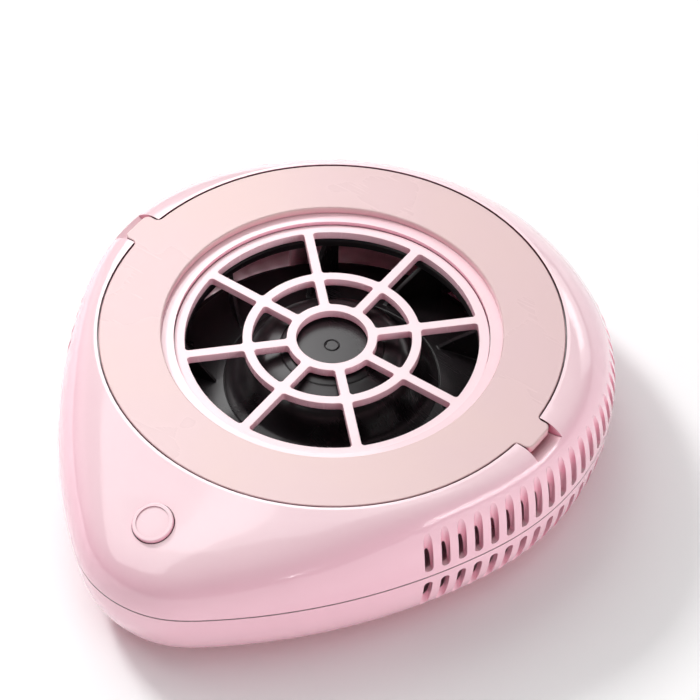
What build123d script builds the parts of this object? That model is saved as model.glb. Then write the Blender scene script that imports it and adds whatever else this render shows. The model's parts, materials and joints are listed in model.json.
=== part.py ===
from build123d import *
import os
from math import asin, atan2, cos, degrees, pi, radians, sin, sqrt

# Nail dust collector: a low, egg-shaped table fan that pulls dust down through a round grille.
# Working frame: millimetres, +Z up, the fan axis is the Z axis, the top of the lid ring is z = 0,
# and the narrow tip with the push button points to -Y. write_part moves every piece to its place
# above the table top, with the origin under the middle of the housing.

# ---- housing outline at the seam: a large back arc, two flank arcs and a small tip arc ----
back_radius = 106.9
back_centre_y = 8.2
flank_radius = 223.5
tip_radius = 44.1
tip_reach = 136.7

# ---- housing section ----
wall = 2.5
seam_depth = 30.8
base_depth = 63.0
belly_inset = 18.7
belly_power = 1.98
seam_groove = 0.5
seam_groove_deep = 0.9
tongue_height = 2.0
tongue_thick = 1.3
tongue_gap = 0.5
tongue_root = 4.0
# the shoulder's Bezier handles at the front, the sides and the back: slope at the rim, length of
# the rim handle as a share of the width, length of the seam handle as a share of the drop
rim_slopes = (0.417, 0.0, 0.566)
rim_handles = (0.416, 1.0, 0.61)
seam_handles = (0.70, 0.25, 0.14)
section_points = 48
shoulder_steps = 8
belly_steps = 6

# ---- lid ring, its well and its two lifting tabs ----
lid_radius = 90.0
lid_gap = 0.6
rim_land = 1.2
lid_inner_radius = 66.0
lid_thick = 3.3
lid_edge_round = 0.7
tab_reach = 95.8
tab_half_width = 7.3
tab_corner = 2.6
tab_root = 2.2
scoop_radius = 14.0
scoop_centre_x = 94.3
scoop_depth = 5.6
scoop_end = 110.0
scoop_wall = 2.4
scoop_pad_side = 3.5
deck_thick = 2.2
deck_radius = 95.0

# ---- grille ----
grille_radius = 60.9
grille_gap = 0.3
grille_opening = 57.0
grille_top = 5.1
grille_flange = 2.0
grille_deep = 3.5
grille_skirt_gap = 0.4
seat_inner_radius = 58.7
seat_thick = 1.6
seat_wall = 3.0
mid_ring_outer = 34.6
hub_ring_outer = 17.5
bar_width = 3.6
spoke_count = 8
bar_round = 1.3

# ---- vents ----
slot_pitch = 7.15
slot_width = 3.6
slot_count = 24
first_slot_y = -58.7
slot_sill = 2.8
slot_bite = 3.5
low_slot_drop = 3.6
low_slot_bite = 5.4
slot_overrun = 6.0

# ---- push button, its switch and the control board ----
button_reach = 113.5
button_radius = 7.9
button_gap = 0.35
button_proud = 1.5
button_wall = 1.6
button_dish = 0.5
button_edge = 0.6
button_dish_radius = 6.3
button_travel = 1.5
button_flange = 1.2
button_catch = 1.1
guide_wall = 1.9
guide_depth = 7.5
stem_radius = 2.0
stem_depth = 12.0
plunger_radius = 1.75
plunger_length = 3.6
plunger_gap = 0.08
plunger_floor_gap = 0.3
switch_side = 7.5
switch_height = 4.0
switch_corner = 0.6
switch_below_stem = 2.2
board_width = 34.0
board_depth = 26.0
board_thick = 1.6
board_corner = 1.5
board_post_x = 13.2
board_post_y = 6.0
board_post_radius = 2.8
board_screw_radius = 1.1
board_screw_bite = 8.0
connector_size = (8.0, 5.0, 4.5)
connector_x = 9.0
connector_y = -7.0

# ---- intake ring and gasket under the deck ----
intake_inner_radius = 57.0
intake_lip_thick = 1.3
intake_bell = 1.2
intake_lip_depth = 13.0
intake_plate_top = 9.0
intake_plate_thick = 1.6
intake_radius = 74.5
intake_screw_circle = 71.0
intake_screw_radius = 1.2
intake_screw_bite = 4.5
intake_screw_angles = (22.5, 112.5, 202.5, 292.5)
intake_boss_radius = 3.2
gasket_radii = (67.5, 64.2)

# ---- impeller ----
hub_top = 9.8
cap_radius = 20.0
cap_edge_drop = 1.0
mark_radius = 2.8
mark_line = 0.4
mark_deep = 0.3
hub_wall = 1.8
dome_radius = 34.0
dome_drop = 19.5
dome_waist = 4.5
dome_fall = 3.1
flare_rise = 2.4
flare_radius = 42.0
flare_drop = 28.4
backplate_radius = 66.0
backplate_top = 31.5
backplate_thick = 1.8
plate_knee_radius = 56.0
plate_knee_rise = 0.3
shroud_radii = (68.0, 59.3)
shroud_top = 12.9
shroud_thick = 1.5
blade_count = 9
blade_root_radius = 45.0
blade_set_in = 0.4
blade_thick = 1.6
blade_curve = 60.0
blade_sweep = 14.0
blade_first_angle = 97.7

# ---- motor ----
cup_radius = 24.0
cup_wall = 1.1
cup_top = 14.6
cup_bottom = 32.0
cup_boss_radius = 4.0
cup_boss = 1.5
magnet_thick = 2.3
magnet_top = 17.5
magnet_bottom = 31.5
air_gap = 0.4
core_top = 20.0
core_bottom = 29.0
tooth_count = 9
tooth_width = 3.0
tooth_root_radius = 9.6
tooth_tip_thick = 2.6
tooth_tip_angle = 29.0
coil_radii = (16.9, 10.8)
coil_width = 5.6
coil_over = 1.5
coil_corner = 1.2
tube_radius = 6.0
tube_top = 17.9
core_step = 1.4
core_fit = 0.02
shaft_radius = 1.48
bearing_bore = 1.5
bearing_radius = 4.0
bearing_width = 4.0
bearing_groove_radii = (3.3, 2.2)
bearing_groove_deep = 0.3
upper_bearing_top = 18.8
lower_bearing_top = 31.2
tube_lip_radius = 3.2
motor_flange_radius = 22.5
motor_flange_thick = 2.0
motor_floor = 37.6
shaft_end = 36.9
shaft_bite = 1.5
clip_radius = 3.0
clip_thick = 0.6
clip_drop = 35.9
motor_board_radii = (20.0, 7.5)
motor_board_top = 33.0
motor_board_thick = 1.2
motor_post_circle = 15.0
motor_post_radius = 1.3
motor_post_angles = (30.0, 150.0, 270.0)
motor_screw_circle = 19.0
motor_screw_radius = 1.1
motor_screw_out = 1.0
motor_screw_angles = (90.0, 210.0, 330.0)

# ---- fan frame and its soft mounts ----
frame_radius = 72.0
frame_thick = 2.0
frame_rib = 4.0
frame_rib_thick = 1.8
frame_rib_radii = (68.0, 30.0)
frame_rib_count = 8
shaft_hole_radius = 3.5
frame_ear_circle = 77.0
frame_ear_radius = 6.5
frame_ear_angles = (0.0, 90.0, 180.0, 270.0)
grommet_hole_radius = 3.6
grommet_radius = 5.0
grommet_flange = 1.0
frame_screw_radius = 1.3
frame_screw_bite = 10.0
frame_post_radius = 4.5
lead_hole_radius = 1.9
lead_hole_place = (0.0, -25.8)

# ---- housing screws and feet ----
housing_screw_circle = 80.0
housing_screw_angles = (45.0, 135.0, 225.0, 315.0)
housing_screw_radius = 1.5
housing_boss_radius = 4.2
head_radius_factor = 1.9
head_thick_factor = 1.1
drive_slot_shares = (2.4, 0.5, 0.8)
head_room = 0.4
screw_room = 0.2
counterbore_depth = 9.0
screw_bite = 9.0
foot_radius = 6.5
foot_sunk = 1.2
foot_stand = 2.0
foot_gap = 0.15
foot_edge = 0.8
front_foot = (46.0, -72.0)
back_foot = (42.0, 74.0)

# ---- power inlet in the back wall ----
inlet_drop = 43.0
inlet_flange_radius = 7.6
inlet_flange_thick = 1.4
inlet_barrel_radius = 5.5
inlet_barrel_gap = 0.1
inlet_bore_radius = 3.1
inlet_bore_depth = 10.5
inlet_length = 14.5
inlet_pocket_radius = 8.6
inlet_pocket_in = 1.8
inlet_pad_radius = 11.0
inlet_pad_thick = 3.2
inlet_pin_radius = 1.05
inlet_pin_recess = 1.2
inlet_pin_tail = 2.0
inlet_pin_neck = 0.4
inlet_tail_radius = 0.85
inlet_nut_flats = 14.0
inlet_nut_thick = 2.5

# ---- leads inside the housing ----
lead_radius = 1.3
motor_lead_radius = 1.0
lead_run_drop = 56.0
lead_drop = 16.0
lead_lane_x = 30.0
lead_turn_x = 14.0
lead_turn_y = -80.0

# ---- values that follow from those above ----
grille_bottom = grille_top + grille_deep
seat_drop = grille_top + grille_flange
well_radius = lid_radius + lid_gap
rim_radius = well_radius + rim_land
deck_drop = lid_thick + deck_thick
frame_top = motor_floor
frame_bottom = frame_top + frame_thick
origin_y = (back_centre_y + back_radius - tip_reach) / 2
table_drop = base_depth + foot_stand


def rod(radius, top, bottom, x=0.0, y=0.0):
    """A plain upright cylinder between two depths below the lid top."""
    return Pos(x, y, -bottom) * extrude(Circle(radius), amount=bottom - top)


def washer(outer, inner, top, bottom, x=0.0, y=0.0):
    """An upright ring between two depths."""
    return Pos(x, y, -bottom) * extrude(Circle(outer) - Circle(inner), amount=bottom - top)


def around(circle, angles):
    """Points on a circle about the fan axis, at the given angles in degrees."""
    return [(circle * cos(radians(a)), circle * sin(radians(a))) for a in angles]


def turned(points):
    """A solid of revolution about the fan axis from (radius, depth) corners."""
    outline = Polyline(*[(r, -d) for r, d in points], close=True)
    return revolve(Plane.XZ * make_face(outline), Axis.Z)


def screw(radius, seat, tip, x, y, upward=True):
    """A pan-head screw: shank from seat to tip, with its head on the far side of the seat."""
    head = radius * head_thick_factor
    drive = Box(*[radius * share for share in drive_slot_shares])
    low, high = max(seat, tip), min(seat, tip)
    shank = rod(radius, high, low, x, y)
    if upward:
        cap = rod(radius * head_radius_factor, seat, seat + head, x, y)
        slot = Pos(x, y, -seat - head) * drive
    else:
        cap = rod(radius * head_radius_factor, seat - head, seat, x, y)
        slot = Pos(x, y, -seat + head) * drive
    return shank + cap - slot


# ---- the outline and the two lofted skins ----


def flank_centre():
    """Centre of the right flank arc, which is tangent to the back arc and the tip arc."""
    span = back_centre_y + tip_reach - tip_radius
    to_back = flank_radius - back_radius
    to_tip = flank_radius - tip_radius
    along = (span**2 + to_back**2 - to_tip**2) / (2 * span)
    return -sqrt(to_back**2 - along**2), back_centre_y - along


def flank_joins():
    """Unit directions, seen from the flank centre, of its joins to the back and the tip arc."""
    cx, cy = flank_centre()
    to_back = flank_radius - back_radius
    to_tip = flank_radius - tip_radius
    tip_centre_y = tip_radius - tip_reach
    return (-cx / to_back, (back_centre_y - cy) / to_back), (-cx / to_tip, (tip_centre_y - cy) / to_tip)


def ray_to_circle(angle, cx, cy, radius):
    """Distance from the fan axis, along a ray, to the far side of a circle."""
    along = cx * cos(angle) + cy * sin(angle)
    return along + sqrt(along**2 - cx**2 - cy**2 + radius**2)


def outline_radius(angle, inset=0.0):
    """Distance from the fan axis to the outline, moved inwards by inset, at an angle in radians."""
    if cos(angle) < 0:
        angle = pi - angle
    angle = atan2(sin(angle), cos(angle))
    cx, cy = flank_centre()
    (bx, by), (tx, ty) = flank_joins()
    tip_centre_y = tip_radius - tip_reach
    back_join = atan2(back_centre_y + (back_radius - inset) * by, (back_radius - inset) * bx)
    tip_join = atan2(tip_centre_y + (tip_radius - inset) * ty, (tip_radius - inset) * tx)
    if angle > back_join:
        return ray_to_circle(angle, 0.0, back_centre_y, back_radius - inset)
    if angle < tip_join:
        return ray_to_circle(angle, 0.0, tip_centre_y, tip_radius - inset)
    return ray_to_circle(angle, cx, cy, flank_radius - inset)


def outline_place(length):
    """Point on the right half of the outline at a length from the tip, and its outward angle."""
    cx, cy = flank_centre()
    (bx, by), (tx, ty) = flank_joins()
    tip_turn = pi / 2 + atan2(ty, tx)
    flank_turn = atan2(by, bx) - atan2(ty, tx)
    if length < tip_radius * tip_turn:
        a = -pi / 2 + length / tip_radius
        return tip_radius * cos(a), tip_radius - tip_reach + tip_radius * sin(a), a
    length -= tip_radius * tip_turn
    if length < flank_radius * flank_turn:
        a = atan2(ty, tx) + length / flank_radius
        return cx + flank_radius * cos(a), cy + flank_radius * sin(a), a
    length -= flank_radius * flank_turn
    a = atan2(by, bx) + length / back_radius
    return back_radius * cos(a), back_centre_y + back_radius * sin(a), a


def length_at(y):
    """Length along the right half of the outline, from the tip to where the flank is at y."""
    cx, cy = flank_centre()
    tx, ty = flank_joins()[1]
    tip_turn = pi / 2 + atan2(ty, tx)
    return tip_radius * tip_turn + flank_radius * (asin((y - cy) / flank_radius) - atan2(ty, tx))


def ease(x):
    """0 below 0, 1 above 1, and a smooth step between."""
    x = min(max(x, 0.0), 1.0)
    return x * x * (3 - 2 * x)


def blended(values, angle):
    """A value that passes smoothly from its front to its side to its back setting with the angle."""
    front, side, back = values
    return side + (front - side) * ease(-sin(angle)) + (back - side) * ease(sin(angle))


def shoulder_at(angle, t, inset=0.0):
    """Radius and depth of the shoulder: a cubic Bezier from the rim (t = 0) to the seam (t = 1)."""
    width = outline_radius(angle, inset) - rim_radius
    drop = seam_depth - inset
    near = 3 * (1 - t) ** 2 * t
    far = 3 * (1 - t) * t**2
    rim_handle = blended(rim_handles, angle)
    run = (near * rim_handle + far + t**3) * width
    fall = near * rim_handle * width * blended(rim_slopes, angle)
    fall += (far * (1 - blended(seam_handles, angle)) + t**3) * drop
    return rim_radius + run, inset + fall


def belly_at(angle, t, inset=0.0):
    """Radius and depth of the belly: a superellipse quarter from the seam (t = 0) to the base."""
    turn = t * pi / 2
    in_by = inset + (belly_inset - inset) * (1 - cos(turn) ** (2 / belly_power))
    fall = (base_depth - seam_depth - inset) * sin(turn) ** (2 / belly_power)
    return outline_radius(angle, in_by), seam_depth + fall


def skin(profile, steps, inset=0.0):
    """A solid lofted through closed sections of a profile function of (angle, t, inset)."""
    wires = []
    for step in range(steps + 1):
        points = []
        for k in range(section_points):
            angle = 2 * pi * k / section_points
            radius, depth = profile(angle, step / steps, inset)
            points.append((radius * cos(angle), radius * sin(angle), -depth))
        wires.append(Wire([Edge.make_spline([Vector(*p) for p in points], periodic=True)]))
    return Solid.make_loft(wires)


def outline_face(inset):
    """The flat face inside the outline moved inwards by inset, from its four arcs."""
    cx, cy = flank_centre()
    (bx, by), (tx, ty) = flank_joins()
    rb, rt, rf = back_radius - inset, tip_radius - inset, flank_radius - inset
    tip_centre_y = tip_radius - tip_reach
    b = (rb * bx, back_centre_y + rb * by)
    t = (rt * tx, tip_centre_y + rt * ty)
    mid = (atan2(by, bx) + atan2(ty, tx)) / 2
    m = (cx + rf * cos(mid), cy + rf * sin(mid))
    back = ThreePointArc(b, (0, back_centre_y + rb), (-b[0], b[1]))
    left = ThreePointArc((-b[0], b[1]), (-m[0], m[1]), (-t[0], t[1]))
    tip = ThreePointArc((-t[0], t[1]), (0, tip_centre_y - rt), t)
    right = ThreePointArc(t, m, b)
    return make_face([back, left, tip, right])


def outline_ring(outer_inset, inner_inset, top, bottom):
    """An upright band that follows the outline between two insets."""
    band = outline_face(outer_inset) - outline_face(inner_inset)
    return Pos(0, 0, -bottom) * extrude(band, amount=bottom - top)


# ---- vents ----


def slot_cutter(bite, top, bottom, round_top):
    """A vent cutter: round-ended in plan and round at one end in elevation. X points outwards."""
    half = slot_width / 2
    straight = Rectangle(slot_overrun + bite - half, slot_width)
    plan = Pos((slot_overrun - bite + half) / 2, 0) * straight
    plan += Pos(half - bite, 0) * Circle(half)
    upright = Pos(0, 0, -bottom) * extrude(plan, amount=bottom - top)
    end = -top - half if round_top else -bottom + half
    middle = (-top - bottom) / 2 + (-half / 2 if round_top else half / 2)
    side = Pos(0, middle) * Rectangle(slot_width, bottom - top - half) + Pos(0, end) * Circle(half)
    across = Plane.YZ.offset(-bite - 1) * side
    return upright & extrude(across, amount=slot_overrun + bite + 2)


def vent_cutters(cutter):
    """The cutter at every vent place on both sides of the housing."""
    placed = []
    for k in range(slot_count):
        x, y, a = outline_place(length_at(first_slot_y) + k * slot_pitch)
        placed.append(Location((x, y, 0), (0, 0, degrees(a))) * cutter)
        placed.append(Location((-x, y, 0), (0, 0, 180 - degrees(a))) * cutter)
    return placed


# ---- the button's own frame: z = 0 on the housing skin, +Z along the push axis ----


def button_frame():
    """Where the push axis meets the shoulder, turned so that +Z is the skin's normal."""
    low, high = 0.0, 1.0
    for _ in range(40):
        t = (low + high) / 2
        radius = shoulder_at(-pi / 2, t)[0]
        low, high = (t, high) if radius < button_reach else (low, t)
    step = 0.002
    r0, d0 = shoulder_at(-pi / 2, t - step)
    r1, d1 = shoulder_at(-pi / 2, t + step)
    return Location((0, -button_reach, -(d0 + d1) / 2), (degrees(atan2(d1 - d0, r1 - r0)), 0, 0))


def button_travel_axis():
    """The inward unit direction of the push axis."""
    tilt = radians(button_frame().orientation.X)
    return (0.0, sin(tilt), -cos(tilt))


board_top = stem_depth + switch_below_stem + switch_height


def board_post_places():
    """The two board posts in the button's frame."""
    return [(side * board_post_x, board_post_y) for side in (1, -1)]


# ---- housing ----


def inlet_skin_y():
    """Y of the housing skin at the inlet's height, straight behind the fan axis."""
    low, high = 0.0, 1.0
    for _ in range(40):
        t = (low + high) / 2
        low, high = (t, high) if belly_at(pi / 2, t)[1] < inlet_drop else (low, t)
    return belly_at(pi / 2, t)[0]


inlet_face_y = inlet_skin_y() - inlet_pocket_in
inlet_back_y = inlet_face_y - inlet_pad_thick


def inlet_rod(radius, y_from, y_to):
    """A cylinder along Y on the inlet's axis."""
    return Location((0, y_from, -inlet_drop), (-90, 0, 0)) * extrude(Circle(radius), amount=y_to - y_from)


def make_upper_shell():
    """Top moulding: shoulder skin, lid well, grille seat, button guide, bosses and vents."""
    at_button = button_frame()
    outer = skin(shoulder_at, shoulder_steps)
    keep = rod(deck_radius, 0, deck_drop)
    keep += rod(grille_radius + seat_wall, 0, seat_drop + seat_thick)
    pad_deep = scoop_depth + scoop_wall
    for side in (1, -1):
        pad = Box(scoop_end - well_radius + 2, 2 * (tab_half_width + scoop_pad_side), pad_deep)
        keep += Pos(side * (scoop_end + well_radius) / 2, 0, -pad_deep / 2) * pad
    keep += at_button * Pos(0, 0, -guide_depth) * extrude(
        Circle(button_radius + button_gap + guide_wall), amount=guide_depth + 6
    )
    for x, y in board_post_places():
        keep += at_button * Pos(x, y, -board_top) * extrude(Circle(board_post_radius), amount=board_top)
    for x, y in around(intake_screw_circle, intake_screw_angles):
        keep += rod(intake_boss_radius, 0, intake_plate_top, x, y)
    for x, y in around(housing_screw_circle, housing_screw_angles):
        keep += rod(housing_boss_radius, 0, seam_depth, x, y)
    shell = outer - (skin(shoulder_at, shoulder_steps, wall) - keep)
    cuts = [rod(well_radius, -5, lid_thick)]
    cuts.append(rod(grille_radius + grille_gap, 0, seat_drop))
    cuts.append(rod(seat_inner_radius, 0, seat_drop + 5))
    notch_half = tab_half_width + lid_gap
    for side in (1, -1):
        across = tab_reach + lid_gap
        cuts.append(Pos(side * across / 2, 0, 0) * Box(across, 2 * notch_half, 2 * lid_thick))
        scoop = Pos(side * scoop_centre_x, 0, scoop_radius - scoop_depth) * Rot(90, 0, 0) * Cylinder(
            scoop_radius, 2 * notch_half
        )
        beside_lid = Box(scoop_end - well_radius + 2, 4 * tab_half_width, 4 * scoop_depth)
        cuts.append(scoop & (Pos(side * (scoop_end + well_radius) / 2, 0, 0) * beside_lid))
    cuts.append(at_button * Cylinder(button_radius + button_gap, 60))
    for x, y in board_post_places():
        cuts.append(at_button * Pos(x, y, -board_top) * Cylinder(board_screw_radius, 2 * board_screw_bite))
    for x, y in around(intake_screw_circle, intake_screw_angles):
        tip = intake_plate_top - intake_screw_bite
        cuts.append(rod(intake_screw_radius, tip, intake_plate_top + 1, x, y))
    for x, y in around(housing_screw_circle, housing_screw_angles):
        cuts.append(rod(housing_screw_radius, seam_depth - screw_bite, seam_depth + 1, x, y))
    shell -= cuts
    cutter = slot_cutter(slot_bite, 1.0, seam_depth - slot_sill, False)
    return shell - vent_cutters(cutter)


def make_lower_shell():
    """Bottom tray: belly skin, seam tongue, bosses, fan posts, foot recesses and inlet seat."""
    outer = skin(belly_at, belly_steps)
    keep = inlet_rod(inlet_pad_radius, inlet_back_y, inlet_back_y + 40)
    for x, y in around(housing_screw_circle, housing_screw_angles):
        keep += rod(housing_boss_radius, seam_depth, base_depth, x, y)
    for x, y in around(frame_ear_circle, frame_ear_angles):
        keep += rod(frame_post_radius, frame_bottom + grommet_flange, base_depth, x, y)
    shell = outer - (skin(belly_at, belly_steps, wall) - keep)
    tongue_in = wall + tongue_gap
    tongue_top = seam_depth - tongue_height
    shell += outline_ring(tongue_in, tongue_in + tongue_thick, tongue_top, seam_depth + tongue_root)
    cuts = [outline_ring(-3, seam_groove_deep, seam_depth - 1, seam_depth + seam_groove)]
    cuts.append(inlet_rod(inlet_pocket_radius, inlet_face_y, inlet_face_y + 20))
    cuts.append(inlet_rod(inlet_barrel_radius + inlet_barrel_gap, inlet_back_y - 5, inlet_face_y + 1))
    nut_corner_radius = inlet_nut_flats / 2 / cos(pi / 6)
    cuts.append(inlet_rod(nut_corner_radius + head_room, inlet_back_y - inlet_pad_radius, inlet_back_y))
    for x, y in around(housing_screw_circle, housing_screw_angles):
        cuts.append(rod(housing_screw_radius, seam_depth - 1, base_depth, x, y))
        head = housing_screw_radius * head_radius_factor + head_room
        cuts.append(rod(head, base_depth - counterbore_depth, base_depth + 1, x, y))
    for x, y in around(frame_ear_circle, frame_ear_angles):
        cuts.append(rod(frame_screw_radius, frame_bottom, frame_bottom + frame_screw_bite, x, y))
    for x, y in foot_places():
        cuts.append(rod(foot_radius + foot_gap, base_depth - foot_sunk, base_depth + 1, x, y))
    shell -= cuts
    cutter = slot_cutter(low_slot_bite, seam_depth + low_slot_drop, base_depth + 2, True)
    return shell - vent_cutters(cutter)


def foot_places():
    """The four feet: two near the tip and two at the back."""
    return [(side * x, y) for x, y in (front_foot, back_foot) for side in (1, -1)]


def make_lid_ring():
    """The satin ring that holds the filter sheet down, with two lifting tabs."""
    plan = Circle(lid_radius)
    tabs = Rectangle(2 * tab_reach, 2 * tab_half_width)
    tabs = fillet(tabs.vertices(), tab_corner)
    plan += tabs
    roots = [v for v in plan.vertices() if lid_radius - 2 < v.center().length < lid_radius + 0.5]
    plan = fillet(roots, tab_root)
    plan -= Circle(lid_inner_radius)
    ring = Pos(0, 0, -lid_thick) * extrude(plan, amount=lid_thick)
    return chamfer(ring.edges().filter_by_position(Axis.Z, -0.01, 0.01), lid_edge_round / 2)


def bar_corners():
    """Where the spokes' sides meet the rings, seen from above."""
    half = bar_width / 2
    circles = (hub_ring_outer, mid_ring_outer - bar_width, mid_ring_outer, grille_opening)
    corners = []
    for k in range(spoke_count):
        for r in circles:
            for side in (1, -1):
                corner = Vector(sqrt(r**2 - half**2), side * half)
                corners.append(corner.rotate(Axis.Z, 360 / spoke_count * k))
    return corners


def make_suction_grille():
    """Round guard: rim, two inner rings and eight spokes, with rounded inside corners."""
    plan = Circle(seat_inner_radius - grille_skirt_gap) - Circle(grille_opening)
    for outer in (mid_ring_outer, hub_ring_outer):
        plan += Circle(outer) - Circle(outer - bar_width)
    reach = grille_opening + 1.0 - hub_ring_outer + bar_width / 2
    for k in range(spoke_count):
        bar = Pos(hub_ring_outer - bar_width / 2 + reach / 2, 0) * Rectangle(reach, bar_width)
        plan += Rot(0, 0, 360 / spoke_count * k) * bar
    grille = Pos(0, 0, -grille_bottom) * extrude(plan, amount=grille_deep)
    corners = bar_corners()
    upright = grille.edges().filter_by(Axis.Z)
    inside = []
    for edge in upright:
        place = Vector(edge.center().X, edge.center().Y)
        if min((place - c).length for c in corners) < 0.01:
            inside.append(edge)
    grille = fillet(inside, bar_round)
    return grille + washer(grille_radius, grille_opening, grille_top, seat_drop)


# ---- button group ----


def make_power_button():
    """Push cap with a dished face, a retaining flange under its guide and a central stem."""
    cap = extrude(Circle(button_radius), amount=button_proud)
    cap = fillet(cap.faces().sort_by(Axis.Z)[-1].edges(), button_edge)
    cap -= Pos(0, 0, button_proud - button_dish) * extrude(Circle(button_dish_radius), amount=2)
    skirt = Circle(button_radius) - Circle(button_radius - button_wall)
    cap += Pos(0, 0, -guide_depth) * extrude(skirt, amount=guide_depth)
    catch = Circle(button_radius + button_gap + button_catch) - Circle(button_radius - button_wall)
    cap += Pos(0, 0, -guide_depth - button_flange - 0.05) * extrude(catch, amount=button_flange)
    cap += Pos(0, 0, -guide_depth - 0.1) * extrude(skirt, amount=0.2)
    cap += Pos(0, 0, -stem_depth) * extrude(Circle(stem_radius), amount=stem_depth + 0.2)
    return button_frame() * cap


def make_switch_plunger():
    """The switch's own actuator, which the button stem pushes."""
    plunger = extrude(Circle(plunger_radius), amount=plunger_length)
    return button_frame() * Pos(0, 0, -stem_depth - plunger_length) * plunger


def make_push_switch():
    """Square switch body with a blind hole for its plunger."""
    top = stem_depth + switch_below_stem
    body = extrude(RectangleRounded(switch_side, switch_side, switch_corner), amount=switch_height)
    body = Pos(0, 0, -board_top) * body
    hole_depth = plunger_length + button_travel - switch_below_stem + plunger_floor_gap
    hole = extrude(Circle(plunger_radius + plunger_gap), amount=hole_depth + 1)
    body -= Pos(0, 0, -top - hole_depth) * hole
    return button_frame() * body


def make_control_board():
    """Small circuit board across the push axis, screwed to two posts."""
    board = Pos(0, 0, -board_top - board_thick) * extrude(
        RectangleRounded(board_width, board_depth, board_corner), amount=board_thick
    )
    for x, y in board_post_places():
        board -= Pos(x, y, -board_top - board_thick) * Cylinder(board_screw_radius + screw_room, 10)
    return button_frame() * board


def make_board_connectors():
    """Two wire headers on the lower side of the control board."""
    middle = board_top + board_thick + connector_size[2] / 2
    shapes = []
    for side in (1, -1):
        block = Box(*connector_size)
        shapes.append(button_frame() * Pos(side * connector_x, connector_y, -middle) * block)
    return shapes


def make_board_screws():
    """Two screws that hold the control board to its posts."""
    shapes = []
    for x, y in board_post_places():
        one = screw(board_screw_radius, board_top + board_thick, board_top - board_screw_bite, x, y)
        shapes.append(button_frame() * one)
    return shapes


# ---- intake ----


def make_intake_ring():
    """Black bell mouth under the deck that leads the air into the impeller."""
    lip_outer = intake_inner_radius + intake_lip_thick
    plate_bottom = intake_plate_top + intake_plate_thick
    ring = turned(
        [
            (intake_inner_radius + intake_bell, intake_plate_top),
            (intake_radius, intake_plate_top),
            (intake_radius, plate_bottom),
            (lip_outer, plate_bottom),
            (lip_outer, intake_lip_depth),
            (intake_inner_radius, intake_lip_depth),
            (intake_inner_radius, intake_plate_top + intake_bell),
        ]
    )
    for x, y in around(intake_screw_circle, intake_screw_angles):
        ring -= rod(intake_screw_radius + screw_room, intake_plate_top - 1, plate_bottom + 1, x, y)
    return ring


def make_intake_gasket():
    """Foam ring that seals the intake ring to the deck."""
    return washer(*gasket_radii, deck_drop, intake_plate_top)


def make_intake_screws():
    """Four screws up into the deck bosses."""
    seat = intake_plate_top + intake_plate_thick
    places = around(intake_screw_circle, intake_screw_angles)
    tip = intake_plate_top - intake_screw_bite
    return [screw(intake_screw_radius, seat, tip, x, y) for x, y in places]


# ---- impeller ----


def make_impeller():
    """Turbo fan wheel: domed hub, flared backplate, backward-swept blades and a shroud ring."""
    thick = backplate_thick
    dome = Spline(
        (cap_radius, -hub_top - cap_edge_drop),
        (dome_radius - dome_waist, -(hub_top + cap_edge_drop + dome_fall)),
        (dome_radius, -dome_drop),
        (flare_radius - dome_waist, -(flare_drop - flare_rise)),
        (flare_radius, -flare_drop),
        tangents=[(1, -0.22), (1, -0.3)],
    )
    plate = Line((flare_radius, -flare_drop), (plate_knee_radius, -backplate_top + plate_knee_rise))
    rim = Polyline(
        (plate_knee_radius, -backplate_top + plate_knee_rise),
        (backplate_radius, -backplate_top),
        (backplate_radius, -backplate_top - thick),
        (plate_knee_radius, -backplate_top + plate_knee_rise - thick),
        (flare_radius - 0.5, -flare_drop - thick),
        (dome_radius, -flare_drop + hub_wall),
        (dome_radius - hub_wall, -dome_drop),
        (dome_radius - dome_waist - hub_wall, -cup_top - hub_wall),
        (cup_radius + hub_wall, -cup_top - hub_wall),
        (cup_radius + hub_wall, -cup_bottom + 2),
        (cup_radius, -cup_bottom + 2),
        (cup_radius, -cup_top),
        (shaft_radius, -cup_top),
        (shaft_radius, -cup_top + shaft_bite),
        (0, -cup_top + shaft_bite),
        (0, -hub_top),
        (cap_radius - 3.5, -hub_top),
        (cap_radius, -hub_top - cap_edge_drop),
    )
    wheel = revolve(Plane.XZ * make_face([dome, plate, rim]), Axis.Z)
    half = mark_line / 2
    lines = (
        (mark_radius, hub_top),
        (cap_radius + half, hub_top + cap_edge_drop),
        (flare_radius + half, flare_drop),
    )
    for radius, drop in lines:
        wheel -= washer(radius + half, radius - half, drop - 1, drop + mark_deep)
    wheel += washer(shroud_radii[0], shroud_radii[1], shroud_top, shroud_top + shroud_thick)
    zone = turned(
        [
            (blade_root_radius, flare_drop + 0.8),
            (plate_knee_radius, backplate_top + 0.2),
            (backplate_radius - blade_set_in, backplate_top + 0.4),
            (backplate_radius - blade_set_in, shroud_top + 0.4),
            (shroud_radii[1] + 0.6, shroud_top + 0.4),
            (shroud_radii[1] - 1.2, shroud_top + 2.6),
        ]
    )
    blade = curved_wall() & zone
    blade = blade.solids().sort_by(Axis.X)[-1]
    return wheel + [Rot(0, 0, blade_first_angle + 360 / blade_count * k) * blade for k in range(blade_count)]


def curved_wall():
    """A round wall whose arc runs from the blade root outwards and swept back."""
    inner = Vector(blade_root_radius, 0)
    sweep = radians(-blade_sweep)
    outer = Vector(backplate_radius * cos(sweep), backplate_radius * sin(sweep))
    chord = outer - inner
    offset = sqrt(blade_curve**2 - (chord.length / 2) ** 2)
    side = Vector(chord.Y, -chord.X).normalized()
    centre = (inner + outer) * 0.5 + side * offset
    half = blade_thick / 2
    wall_ring = Circle(blade_curve + half) - Circle(blade_curve - half)
    return Pos(centre.X, centre.Y, -backplate_top - 5) * extrude(wall_ring, amount=30)


# ---- motor ----


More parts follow.
